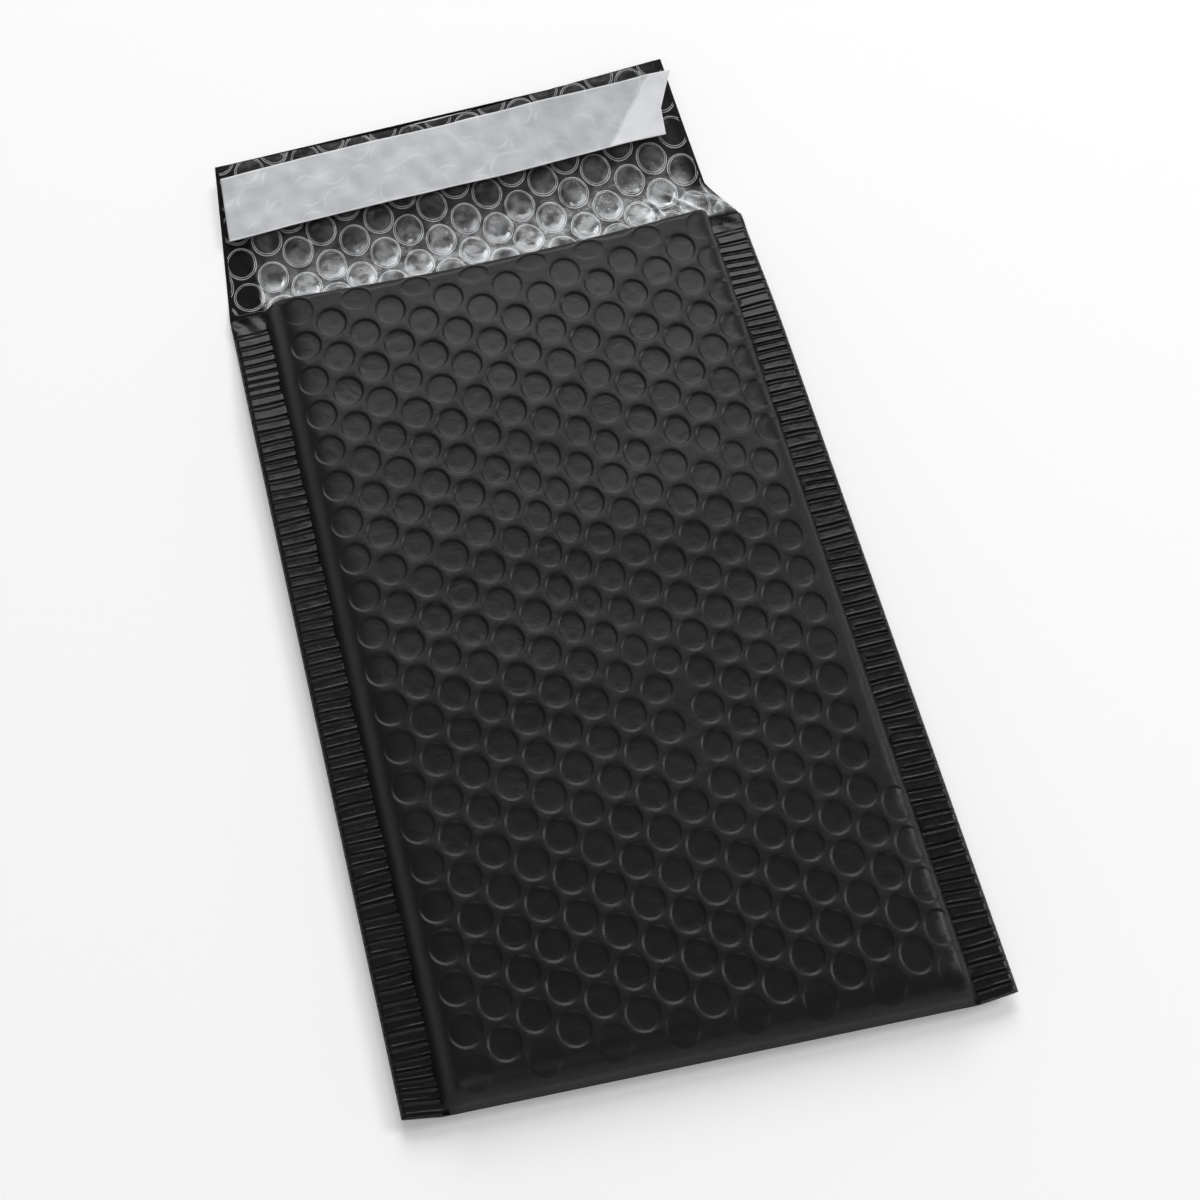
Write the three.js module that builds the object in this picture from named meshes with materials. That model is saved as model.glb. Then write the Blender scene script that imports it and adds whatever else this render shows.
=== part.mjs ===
// A padded envelope: black film lined with bubble film, lying flat with its flap open.
// Millimetres. X runs across the width, Y up the length from the bottom fold to the flap's edge, and
// Z up from the surface that the envelope lies on. The origin is under the middle of the whole length.
import * as THREE from 'three';
import { mergeVertices } from 'three/addons/utils/BufferGeometryUtils.js';

// Outline
const width = 165;
const bodyLength = 255;
const flapLengthLeft = 60;
const flapLengthRight = 62;
const flapTaperLeft = 5.7;
const flapTaperRight = 9.8;
const shoulderInset = 7.8;
const shoulderLength = 13.6;
const seamWidth = 11;

// Layers, from the outside in
const filmThickness = 0.4;
const layerGap = 0.3;
const linerThickness = 2.8;
const pocketHeight = 4.8;
const weldRoot = 0.8;
const sideGap = 1.2;
const linerSideWall = 3;

// Pillow form
const seamHeight = 4;
const seamDrop = 2.8;
const seamDropReach = 45;
const sideRound = 14;
const foldRound = 12;
const roundPower = 2.2;
const mouthRoll = 1.6;
const mouthDip = 2.5;
const mouthReach = 14;
const flapSettle = 10;
const shoulderLineShare = 0.2;
const flapLift = 7;
const flapLiftPower = 1.5;

// Welded side seams, with their ribs on the upper face
const weldThickness = 0.9;
const weldInnerLevel = 0.25;
const ribPitch = 3;
const ribHeight = 0.8;
const smoothEnd = 8;

// Bubbles, in columns that run along the length, each half a row from the next. The rows of the
// pouch widen slowly towards the mouth, by twice the growth from one to the next.
const pouchBubbles = {
  columnShift: 2.7,
  columnSpacing: 9.15,
  firstRow: 13.8,
  rowPitch: 11.316,
  rowGrowth: 0.031,
  width: 9.3,
  length: 10.2,
};
const flapBubbles = {
  columnShift: -2.9,
  columnSpacing: 9,
  firstRow: 261.3,
  rowPitch: 13.8,
  rowGrowth: 0,
  width: 8.8,
  length: 11.6,
};
const bubbleEdgeGap = 0.8;
const bubbleSides = 6;
const pitDepth = 0.4;
const pitFloorShare = 0.8;
const flapLinerBase = 0.8;
const domeRise = 1;
const domeTopShare = 0.7;
const flapLinerMargin = 1.2;
const flapLinerFlare = 6;
const flapLinerEndMargin = 1;

// Closure strip: a glue band under a release liner that reaches past it
const releaseInsetLeft = 5.2;
const releaseInsetRight = 16.5;
const releaseSlant = 5.5;
const releaseWidth = 24.5;
const releaseThickness = 0.3;
const releaseEndMargin = 5;
const glueWidth = 18;
const glueThickness = 0.3;
const glueEndMargin = 8;
const tabLength = 14;
const tabLift = 2.5;

// Worked-out sizes
const halfWidth = width / 2;
const mouth = bodyLength;
const flapLength = Math.max(flapLengthLeft, flapLengthRight);
const seamTop = seamHeight + weldThickness / 2;
const seamBottom = seamHeight - weldThickness / 2;
const linerFloor = filmThickness + layerGap;
const pocketFloor = linerFloor + linerThickness;
const pocketTop = pocketFloor + pocketHeight;
const linerTop = pocketTop + linerThickness;
const filmUnderside = linerTop + layerGap;
const filmTop = filmUnderside + filmThickness + pitDepth;
const releaseLeft = releaseInsetLeft - halfWidth;
const releaseRight = halfWidth - releaseInsetRight;
const bubbleHexShare = Math.sin(Math.PI / 3);

const clamp01 = (t) => Math.min(1, Math.max(0, t));
const smooth = (t) => clamp01(t) ** 2 * (3 - 2 * clamp01(t));
const mix = (a, b, t) => a + (b - a) * t;
const point = (x, y, z) => new THREE.Vector3(x, y, z);

// A rounded shoulder: 0 at the edge, 1 from one shoulder width inwards.
function rounding(distance, reach) {
  return 1 - (1 - clamp01(distance / reach)) ** roundPower;
}

// Each inner face starts at a level inside the face around it, where its own edge comes.
const filmEdge = seamHeight - weldInnerLevel * weldThickness;
const linerEdge = mix(filmEdge, (filmThickness + filmUnderside) / 2, rounding(sideGap, sideRound) ** 2);
const pocketRise = rounding(linerSideWall, sideRound);
const pocketEdge = mix(linerEdge, (linerFloor + linerTop) / 2, pocketRise);

// Where a face lies in the pouch, by its inset from the outer face: its half width at the weld, its
// start above the bottom fold, and its rounds, which all end on the same lines.
const insetBy = (inset) => ({
  half: halfWidth - seamWidth - inset,
  start: inset,
  sideRound: sideRound - inset,
  foldRound: foldRound - inset,
});

// Each face of the pouch: its place, the levels of its edge, its crown on the front and its floor on
// the back, and how far its crown and its edge come down at the mouth.
const outerFace = {
  ...insetBy(0),
  frontEdge: seamTop,
  backEdge: seamBottom,
  crown: filmTop,
  floor: 0,
  roll: mouthRoll,
  drop: seamDrop,
};
const filmInnerFace = {
  ...insetBy(weldRoot),
  frontEdge: filmEdge,
  backEdge: filmEdge,
  crown: filmUnderside,
  floor: filmThickness,
  roll: mouthRoll,
  drop: seamDrop,
};
const linerOuterFace = {
  ...insetBy(weldRoot + sideGap),
  frontEdge: linerEdge,
  backEdge: linerEdge,
  crown: linerTop,
  floor: linerFloor,
  roll: mouthRoll,
  drop: seamDrop,
};
const pocketFace = {
  ...insetBy(weldRoot + sideGap + linerSideWall),
  frontEdge: pocketEdge,
  backEdge: pocketEdge,
  crown: pocketTop,
  floor: pocketFloor,
  roll: 0,
  drop: seamDrop * (1 - pocketRise),
};

function crossRise(face, x) {
  return rounding(face.half - Math.abs(x), face.sideRound);
}

function fullness(face, x, y) {
  return crossRise(face, x) * rounding(y - face.start, face.foldRound);
}

// The seams lie lower towards the mouth, where the flap lies flat.
function edgeFall(face, y) {
  return face.drop * smooth((y - mouth + seamDropReach) / seamDropReach);
}

// Front panel: it crowns between the seams, rounds into the fold, and rolls back at the mouth.
function frontPoint(face, x, y, raise = 0) {
  const nearMouth = smooth((y - mouth + mouthReach) / mouthReach);
  const crown = face.crown - face.roll * nearMouth;
  const z = mix(face.frontEdge - edgeFall(face, y), crown, fullness(face, x, y));
  return point(x, y - mouthDip * nearMouth * crossRise(face, x), z + raise);
}

function backLevel(face, x, y) {
  return mix(face.backEdge - edgeFall(face, y), face.floor, fullness(face, x, y));
}

function backPoint(face, x, y) {
  return point(x, y, backLevel(face, x, y));
}

// Flap outline and levels
function flapEnd(x) {
  return mouth + mix(flapLengthLeft, flapLengthRight, (x + halfWidth) / width);
}

function flapLeft(y) {
  return -halfWidth + flapTaperLeft * clamp01((y - mouth) / flapLengthLeft);
}

function flapRight(y) {
  const along = y - mouth;
  if (along < shoulderLength) return halfWidth - shoulderInset * clamp01(along / shoulderLength);
  const rest = (along - shoulderLength) / (flapLengthRight - shoulderLength);
  return halfWidth - mix(shoulderInset, flapTaperRight, clamp01(rest));
}

// The flap's left half lies flat, and its right half curls up towards the far corner.
function flapCurl(x, y) {
  const across = clamp01(x / halfWidth);
  const along = clamp01((y - mouth) / flapLength);
  return flapLift * across * along ** flapLiftPower;
}

// A layer leaves the mouth at its own level there and settles to a flat lie at its offset.
function flapLevel(face, offset, x, y) {
  const atMouth = Math.abs(x) < face.half
    ? backLevel(face, x, mouth)
    : face.backEdge - face.drop + face.edgeClimb * (Math.abs(x) - face.half) / seamWidth;
  return mix(atMouth, flapCurl(x, y) + offset, smooth((y - mouth) / flapSettle));
}

// A surface is gathered as triangles whose corners meet, then its equal corners are merged.
class Skin {
  constructor() {
    this.corners = [];
  }

  triangle(a, b, c) {
    const smallest = Math.min(a.distanceTo(b), b.distanceTo(c), c.distanceTo(a));
    if (smallest > 1e-4) this.corners.push(a, b, c);
  }

  quad(a, b, c, d) {
    this.triangle(a, b, c);
    this.triangle(a, c, d);
  }

  // Fills between two lines that run the same way along an axis. It faces the side from which
  // the first line lies to the left.
  strip(left, right, axis) {
    let i = 0;
    let j = 0;
    while (i < left.length - 1 || j < right.length - 1) {
      const stepRight = j < right.length - 1
        && (i === left.length - 1 || right[j + 1][axis] <= left[i + 1][axis]);
      if (stepRight) {
        this.triangle(left[i], right[j], right[j + 1]);
        j += 1;
      } else {
        this.triangle(left[i], right[j], left[i + 1]);
        i += 1;
      }
    }
  }

  // Rows of equally many points, in order of rising Y. It faces up, or down when turned over, and
  // its squares are split the same way both times, so that layers stay parallel.
  rows(rows, turned = false) {
    for (let r = 0; r < rows.length - 1; r += 1) {
      const low = rows[r];
      const high = rows[r + 1];
      for (let i = 0; i < low.length - 1; i += 1) {
        if (turned) this.quad(low[i], high[i], high[i + 1], low[i + 1]);
        else this.quad(low[i], low[i + 1], high[i + 1], high[i]);
      }
    }
  }

  mesh(name, material) {
    const geometry = new THREE.BufferGeometry();
    const numbers = this.corners.flatMap((corner) => corner.toArray());
    geometry.setAttribute('position', new THREE.Float32BufferAttribute(numbers, 3));
    const merged = mergeVertices(geometry);
    const mesh = new THREE.Mesh(merged, material);
    mesh.name = name;
    return mesh;
  }
}

// Stations across a face: close together on its round shoulders, sparse on its flat middle.
function stationsAcross(face) {
  const shoulderShares = [0, 0.22, 0.55, 1];
  const right = shoulderShares.map((share) => face.half - share * face.sideRound);
  const middle = 0.4 * face.half;
  return [...right.map((x) => -x), -middle, 0, middle, ...right.reverse()];
}

function stationsAlong(face) {
  const foldShares = [0, 0.12, 0.3, 0.6, 1];
  const low = foldShares.map((share) => face.start + share * face.foldRound);
  const drop = [1, 0.5].map((share) => mouth - share * seamDropReach);
  return [...low, ...drop, mouth - mouthReach, mouth - mouthReach / 2, mouth];
}

function column(points, index) {
  return points.map((row) => row.at(index));
}

// Bubble columns over the width between two limits: the place of each, and how far its rows shift.
function columnPlaces(bubbles, lowest, highest) {
  const { columnShift, columnSpacing, width: bubbleWidth } = bubbles;
  const reach = bubbleWidth / 2 + bubbleEdgeGap;
  const first = Math.ceil((lowest + reach - columnShift) / columnSpacing);
  const last = Math.floor((highest - reach - columnShift) / columnSpacing);
  const places = [];
  for (let k = first; k <= last; k += 1) {
    places.push({ x: columnShift + k * columnSpacing, rowShift: (Math.abs(k) % 2) / 2 });
  }
  return places;
}

// The rows of one column up to a limit, with one below the first where its shift leaves room.
function rowPlaces(bubbles, rowShift, highest) {
  const { firstRow, rowPitch, rowGrowth } = bubbles;
  const rows = [];
  for (let row = rowShift - 1; ; row += 1) {
    const y = firstRow + rowPitch * row + rowGrowth * row ** 2;
    if (y >= highest) return rows;
    rows.push(y);
  }
}

// The six corners of a bubble's outline, from its right-hand corner round to the left.
function bubbleRing(bubbles, x, y, share, place, level) {
  const ring = [];
  for (let i = 0; i < bubbleSides; i += 1) {
    const angle = i * 2 * Math.PI / bubbleSides;
    const px = x + share * bubbles.width / 2 * Math.cos(angle);
    const py = y + share * bubbles.length / 2 * Math.sin(angle);
    ring.push(place(px, py, level));
  }
  return ring;
}

// A panel of bubbles between two end rows and two side lines. place(x, y, level) puts a point on
// the panel, level above its land; fits(x, y) says whether a bubble has room there.
function bubblePanel(skin, panel) {
  const { bubbles, places, lowY, highY, place, level, topShare, fits, leftLine, rightLine } = panel;
  let previous = leftLine;
  const lowRow = [leftLine[0]];
  const highRow = [leftLine.at(-1)];
  for (const { x, rowShift } of places) {
    const quarter = bubbles.width / 4;
    const leftEdge = [place(x - quarter, lowY(x - quarter), 0)];
    const rightEdge = [place(x + quarter, lowY(x + quarter), 0)];
    lowRow.push(leftEdge[0], rightEdge[0]);
    for (const y of rowPlaces(bubbles, rowShift, highY(x))) {
      if (!fits(x, y)) continue;
      const rim = bubbleRing(bubbles, x, y, 1, place, 0);
      const top = bubbleRing(bubbles, x, y, topShare, place, level);
      skin.quad(leftEdge.at(-1), rightEdge.at(-1), rim[5], rim[4]);
      for (let i = 0; i < bubbleSides; i += 1) {
        const next = (i + 1) % bubbleSides;
        skin.quad(rim[i], rim[next], top[next], top[i]);
      }
      skin.quad(top[0], top[1], top[2], top[3]);
      skin.quad(top[0], top[3], top[4], top[5]);
      leftEdge.push(rim[4], rim[3], rim[2]);
      rightEdge.push(rim[5], rim[0], rim[1]);
    }
    const leftEnd = place(x - quarter, highY(x - quarter), 0);
    const rightEnd = place(x + quarter, highY(x + quarter), 0);
    skin.quad(leftEdge.at(-1), rightEdge.at(-1), rightEnd, leftEnd);
    leftEdge.push(leftEnd);
    rightEdge.push(rightEnd);
    highRow.push(leftEnd, rightEnd);
    skin.strip(previous, leftEdge, 'y');
    previous = rightEdge;
  }
  skin.strip(previous, rightLine, 'y');
  lowRow.push(rightLine[0]);
  highRow.push(rightLine.at(-1));
  return { lowRow, highRow };
}

// One side's seam line, at its inner or outer edge: ribs across the seam, smooth at both ends.
function ribLine(x) {
  const count = 2 * Math.round(bodyLength / ribPitch);
  const line = [];
  for (let i = 0; i <= count; i += 1) {
    const y = bodyLength * i / count;
    const strength = clamp01((mouth - y) / smoothEnd) * clamp01(y / ribPitch);
    const rib = ribHeight / 2 * (i % 2 ? 1 : -1) * strength;
    line.push(point(x, y, seamTop - edgeFall(outerFace, y) + rib));
  }
  return line;
}

// A line up the front, part of the way down its side shoulder, where the seam's ribs give way to
// the panel's wider spacing.
function shoulderLine(side, lowest) {
  const x = side * (outerFace.half - shoulderLineShare * sideRound);
  const bends = stationsAlong(outerFace);
  const ys = [lowest, ...bends.filter((y) => y > lowest + ribPitch / 4)];
  const plainEnd = mouth - seamDropReach;
  const step = pouchBubbles.rowPitch;
  for (let y = foldRound + step; y < plainEnd; y += 2 * step) ys.push(y);
  ys.sort((a, b) => a - b);
  return ys.map((y) => frontPoint(outerFace, x, y));
}

// The black film: front panel with its pits, fold, back panel, flap and both welded seams.
function outerFilm() {
  const skin = new Skin();
  const ribs = [-halfWidth, -outerFace.half, outerFace.half, halfWidth].map(ribLine);
  const [leftOuter, leftInner, rightInner, rightOuter] = ribs;
  skin.strip(leftOuter, leftInner, 'y');
  skin.strip(rightInner, rightOuter, 'y');

  const places = columnPlaces(pouchBubbles, -outerFace.half, outerFace.half);
  const lowest = leftInner[1].y;
  const shoulderLines = [-1, 1].map((side) => shoulderLine(side, lowest));
  const bubbleReach = bubbleHexShare * pouchBubbles.length / 2;
  const front = bubblePanel(skin, {
    bubbles: pouchBubbles,
    places,
    lowY: () => lowest,
    highY: () => mouth,
    place: (x, y, level) => frontPoint(outerFace, x, y, level),
    level: -pitDepth,
    topShare: pitFloorShare,
    fits: (x, y) => y - bubbleReach > lowest && y + bubbleReach < mouth - bubbleEdgeGap,
    leftLine: shoulderLines[0],
    rightLine: shoulderLines[1],
  });
  skin.strip(leftInner.slice(1), shoulderLines[0], 'y');
  skin.strip(shoulderLines[1], rightInner.slice(1), 'y');
  const foldMiddle = front.lowRow.map((p) => frontPoint(outerFace, p.x, 0));
  const foldRow = [leftInner[0], ...foldMiddle, rightInner[0]];
  skin.rows([foldRow, [leftInner[1], ...front.lowRow, rightInner[1]]]);

  const across = stationsAcross(outerFace);
  const acrossAll = [-halfWidth, ...across, halfWidth];
  const back = stationsAlong(outerFace).map((y) => acrossAll.map((x) => backPoint(outerFace, x, y)));
  skin.rows(back, true);
  skin.strip([leftOuter[0], ...foldRow, rightOuter[0]], back[0], 'x');

  const inner = stationsAcross(filmInnerFace);
  const innerRows = stationsAlong(filmInnerFace);
  const innerFront = innerRows.map((y) => inner.map((x) => frontPoint(filmInnerFace, x, y)));
  const innerBack = innerRows.map((y) => inner.map((x) => backPoint(filmInnerFace, x, y)));
  skin.rows(innerFront, true);
  skin.rows(innerBack);

  const innerAll = [-halfWidth, ...inner, halfWidth];
  const topFace = { ...filmInnerFace, edgeClimb: filmThickness / 2 };
  const bottomFace = { ...outerFace, edgeClimb: 0 };
  const flapTop = flapRows(innerAll, (x, y) => flapLevel(topFace, filmThickness, x, y));
  const flapBottom = flapRows(acrossAll, (x, y) => flapLevel(bottomFace, 0, x, y));
  skin.rows(flapTop);
  skin.rows(flapBottom, true);
  skin.strip(flapBottom.at(-1), flapTop.at(-1), 'x');
  skin.strip(column(flapBottom, 0), column(flapTop, 0), 'y');
  skin.strip(column(flapTop, -1), column(flapBottom, -1), 'y');

  const leftCorner = flapTop[0][0];
  const rightCorner = flapTop[0].at(-1);
  skin.strip([...column(back, 0), leftCorner], leftOuter, 'y');
  skin.strip(rightOuter, [...column(back, -1), rightCorner], 'y');
  const rimInside = [leftCorner, ...innerFront.at(-1), rightCorner];
  const frontEdge = [leftInner.at(-1), ...front.highRow, rightInner.at(-1)];
  const rimOutside = [leftOuter.at(-1), ...frontEdge, rightOuter.at(-1)];
  skin.strip(rimInside, rimOutside, 'x');
  return skin;
}

// Where a side line of the flap bends: where it settles, at the shoulder, and on to its end.
function flapLineStations(end) {
  const shoulder = mouth + shoulderLength;
  const restShares = [0, 0.35, 0.7, 1];
  return [mouth + flapSettle / 3, ...restShares.map((share) => mix(shoulder, end, share))];
}

// Rows of points over the flap: the stations are drawn in to its tapering outline.
function flapRows(stations, level) {
  const leftYs = [mouth, ...flapLineStations(flapEnd(-halfWidth))];
  const rightYs = [mouth, ...flapLineStations(flapEnd(halfWidth))];
  return leftYs.map((leftY, row) => stations.map((station) => {
    const across = (station + halfWidth) / width;
    const y = mix(leftY, rightYs[row], across);
    const x = mix(flapLeft(y), flapRight(y), across);
    return point(x, y, level(x, y));
  }));
}

// The clear bubble film: a pouch inside the black one, with a flap that shows its bubbles.
function bubbleLiner() {
  const skin = new Skin();
  const outer = stationsAcross(linerOuterFace);
  const outerRows = stationsAlong(linerOuterFace);
  const outerFront = outerRows.map((y) => outer.map((x) => frontPoint(linerOuterFace, x, y)));
  const outerBack = outerRows.map((y) => outer.map((x) => backPoint(linerOuterFace, x, y)));
  skin.rows(outerFront);
  skin.rows(outerBack, true);

  const pocket = stationsAcross(pocketFace);
  const pocketRows = stationsAlong(pocketFace);
  const pocketFront = pocketRows.map((y) => pocket.map((x) => frontPoint(pocketFace, x, y)));
  const pocketBack = pocketRows.map((y) => pocket.map((x) => backPoint(pocketFace, x, y)));
  skin.rows(pocketFront, true);
  skin.rows(pocketBack);
  skin.strip(pocketFront.at(-1), outerFront.at(-1), 'x');

  const low = flapLineStations(flapEnd(0))[0];
  const edge = linerOuterFace.half;
  const underFace = { ...linerOuterFace, edgeClimb: filmThickness };
  const overFace = { ...pocketFace, edgeClimb: filmThickness };
  const overOffset = linerFloor + flapLinerBase;
  const flare = (y) => clamp01((y - mouth) / flapLinerFlare);
  const left = (y) => mix(-edge, flapLeft(y) + flapLinerMargin, flare(y));
  const right = (y) => mix(edge, flapRight(y) - flapLinerMargin, flare(y));
  const end = (x) => flapEnd(x) - flapLinerEndMargin;
  const under = (x, y) => point(x, y, flapLevel(underFace, linerFloor, x, y));
  const over = (x, y, level) => point(x, y, flapLevel(overFace, overOffset, x, y) + level);

  const leftYs = flapLineStations(end(left(flapEnd(-edge))));
  const rightYs = flapLineStations(end(right(flapEnd(edge))));
  const leftLine = leftYs.map((y) => over(left(y), y, 0));
  const rightLine = rightYs.map((y) => over(right(y), y, 0));
  const reach = flapBubbles.width / 2;
  const tall = bubbleHexShare * flapBubbles.length / 2;
  const clearEnds = (x, y) => y - tall > low && y + tall < end(x);
  const clearSides = (x, y) => x - reach > left(y - tall) && x + reach < right(y + tall);
  const panel = bubblePanel(skin, {
    bubbles: flapBubbles,
    places: columnPlaces(flapBubbles, leftLine.at(-1).x, rightLine.at(-1).x),
    lowY: () => low,
    highY: end,
    place: over,
    level: domeRise,
    topShare: domeTopShare,
    fits: (x, y) => clearEnds(x, y) && clearSides(x, y),
    leftLine,
    rightLine,
  });
  const mouthRow = [outerBack.at(-1)[0], ...pocketBack.at(-1), outerBack.at(-1).at(-1)];
  skin.strip(panel.lowRow, mouthRow, 'x');

  const underRows = [outerBack.at(-1)];
  for (let r = 0; r < leftYs.length; r += 1) {
    underRows.push(outer.map((station) => {
      const share = (station + edge) / (2 * edge);
      const y = mix(leftYs[r], rightYs[r], share);
      return under(mix(left(y), right(y), share), y);
    }));
  }
  skin.rows(underRows, true);
  skin.strip(underRows.at(-1), panel.highRow, 'x');
  skin.strip(column(underRows, 0), [mouthRow[0], ...leftLine], 'y');
  skin.strip([mouthRow.at(-1), ...rightLine], column(underRows, -1), 'y');
  return skin;
}

// A thin strip across the flap, as a closed slab over a slanted rectangle.
function flapStrip({ left, right, slant, low, high, bottom, thickness, lift }) {
  const skin = new Skin();
  const acrossCount = 12;
  const alongCount = 2;
  const layers = [0, thickness].map((offset) => {
    const rows = [];
    for (let r = 0; r <= alongCount; r += 1) {
      const row = [];
      for (let i = 0; i <= acrossCount; i += 1) {
        const along = r / alongCount;
        const x = mix(left, right + slant * along, i / acrossCount);
        const y = mix(low(x), high(x), along);
        row.push(point(x, y, bottom + flapCurl(x, y) + lift(x, along) + offset));
      }
      rows.push(row);
    }
    return rows;
  });
  const [under, over] = layers;
  skin.rows(over);
  skin.rows(under, true);
  skin.strip(over[0], under[0], 'x');
  skin.strip(under.at(-1), over.at(-1), 'x');
  skin.strip(column(under, 0), column(over, 0), 'y');
  skin.strip(column(over, -1), column(under, -1), 'y');
  return skin;
}

const black = new THREE.MeshStandardMaterial({ color: 0x2b2c2f, roughness: 0.55 });
const clear = new THREE.MeshStandardMaterial({
  color: 0xd5dade, roughness: 0.15, transparent: true, opacity: 0.35,
});
const glue = new THREE.MeshStandardMaterial({ color: 0xe6e2d2, roughness: 0.4 });
const paleStrip = new THREE.MeshStandardMaterial({ color: 0xd4d7dc, roughness: 0.35 });

const releaseHigh = (x) => flapEnd(x) - releaseEndMargin;
const releaseLow = (x) => releaseHigh(x) - releaseWidth;
const glueMiddle = (x) => releaseHigh(x) - releaseWidth / 2;
const glueBottom = linerFloor + flapLinerBase + domeRise + layerGap;
const releaseBottom = glueBottom + glueThickness + layerGap;

const glueStrip = flapStrip({
  left: releaseLeft + glueEndMargin,
  right: releaseRight - glueEndMargin,
  slant: 0,
  low: (x) => glueMiddle(x) - glueWidth / 2,
  high: (x) => glueMiddle(x) + glueWidth / 2,
  bottom: glueBottom,
  thickness: glueThickness,
  lift: () => 0,
});
const releaseStrip = flapStrip({
  left: releaseLeft,
  right: releaseRight,
  slant: releaseSlant,
  low: releaseLow,
  high: releaseHigh,
  bottom: releaseBottom,
  thickness: releaseThickness,
  lift: (x, along) => tabLift * along * clamp01((x - releaseRight + tabLength) / tabLength) ** 2,
});

const envelope = new THREE.Group();
envelope.add(outerFilm().mesh('outer_film', black));
envelope.add(bubbleLiner().mesh('bubble_liner', clear));
envelope.add(glueStrip.mesh('adhesive_strip', glue));
envelope.add(releaseStrip.mesh('release_liner', paleStrip));
envelope.position.y = -(bodyLength + flapLength) / 2;

export default envelope;
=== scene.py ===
"""A padded envelope: black film lined with clear bubble film, on its back with its flap open.

Lengths are millimetres. x runs across the width from the middle, y up the length from the bottom
fold, and z up from the floor. ORIGIN and MM take them into the frame's metres.
"""

from collections import namedtuple
from math import radians

import bpy
import numpy as np
from mathutils import Matrix, Vector
from mathutils.geometry import delaunay_2d_cdt


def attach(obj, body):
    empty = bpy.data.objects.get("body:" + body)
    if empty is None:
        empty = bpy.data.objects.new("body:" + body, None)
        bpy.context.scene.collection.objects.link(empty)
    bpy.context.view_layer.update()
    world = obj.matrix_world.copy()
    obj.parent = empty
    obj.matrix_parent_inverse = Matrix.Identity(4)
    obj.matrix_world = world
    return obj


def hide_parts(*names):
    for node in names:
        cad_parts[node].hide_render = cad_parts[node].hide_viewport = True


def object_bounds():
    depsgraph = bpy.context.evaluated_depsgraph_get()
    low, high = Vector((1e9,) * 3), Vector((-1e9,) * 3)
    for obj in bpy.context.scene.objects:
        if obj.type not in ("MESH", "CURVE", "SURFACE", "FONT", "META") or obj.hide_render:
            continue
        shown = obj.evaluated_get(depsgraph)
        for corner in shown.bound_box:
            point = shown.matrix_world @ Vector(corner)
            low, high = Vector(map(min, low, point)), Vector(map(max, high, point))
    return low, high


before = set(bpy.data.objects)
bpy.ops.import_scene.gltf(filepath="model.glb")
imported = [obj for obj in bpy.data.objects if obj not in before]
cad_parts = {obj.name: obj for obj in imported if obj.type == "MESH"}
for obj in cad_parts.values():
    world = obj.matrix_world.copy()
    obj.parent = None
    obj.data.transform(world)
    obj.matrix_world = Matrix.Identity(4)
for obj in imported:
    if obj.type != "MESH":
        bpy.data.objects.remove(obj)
CAD_LOW, CAD_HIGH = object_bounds()
BODY = "root"
MM = 0.001
ORIGIN = np.array([0, CAD_LOW.y / MM, CAD_LOW.z / MM])

# Outline
HALF_WIDTH = CAD_HIGH.x / MM
WIDTH = 2 * HALF_WIDTH
MOUTH = 255
FLAP_LEFT = 60
FLAP_RIGHT = 62
TAPER_LEFT = 5.7
TAPER_RIGHT = 9.8
SHOULDER_INSET = 7.8
SHOULDER_LENGTH = 13.6
SEAM_WIDTH = 11
SEAM_EDGE = HALF_WIDTH - SEAM_WIDTH

# Pillow form
SIDE_ROUND = 14
FOLD_ROUND = 9
FOLD_POWER = 2.3
SIDE_POWER_LEFT = 4.5
SIDE_POWER_RIGHT = 10
MOUTH_DIP = 2.6
MOUTH_BOW = 2.8
MOUTH_REACH = 14
DROP_REACH = 45
FLAP_SETTLE = 10
FLAP_LIFT = 7
LIFT_POWER = 1.5
SEAM_HEIGHT = 4
WELD = 0.9
FILM = 0.16
HIDDEN_EDGE = 4.5
PANEL_RIPPLE = 0.2
SHOULDER_LINES = (4.8, 3.4, 2.2, 1.3, 0.7, 0.3, 0, -1.5)

# Pits of the front and back panels: even and odd columns, half a step apart. The rings of a pit are
# given as shares of its rim's half sizes and of its depth. Overhangs say how far past the last place
# for a whole pit one may lie and still be shown.
COLUMN_STEP = 9.15
COLUMN_START = 2.7
FIRST_ROW = 13.8
ROW_STEP = 11.316
ROW_GROWTH = 0.031
BUBBLE_HALF = (5.02, 5.45)
PIT_DEPTH = 0.45
PIT_GAP = 0.4
PIT_SIDES = 18
FRONT_RINGS = ((0.965, 0.07), (0.865, 0.92), (0.81, 1), (0.45, 1))
BACK_RINGS = ((0.86, 0.9), (0.74, 1))
BACK_SHRINK = 0.97
LEAST_SPACING = 9.4
LEFT_OVERHANG = 2
RIGHT_OVERHANG = 4.6
CUT_OFF_START = 1.2
CUT_OFF_HALF = (2.1, 4.4)
CUT_OFF_GAP = 0.6
CUT_OFF_DEPTH = 0.4
MOUTH_CLEARANCE = 2.6

# The lower end lies askew: lifted by so much at the seams, shifted, turned, and all within a reach
SEAM_SKEW = 1.3
SAG_SHIFT = 1.1
SAG_TURN = 3.1
SAG_REACH = 110

# Ribbed seams
RIB_PITCH = 3.6
RIB_HEIGHT = 0.5
SMOOTH_END = 8
SEAM_ROWS = 1501
SEAM_POINTS = 15

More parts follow.
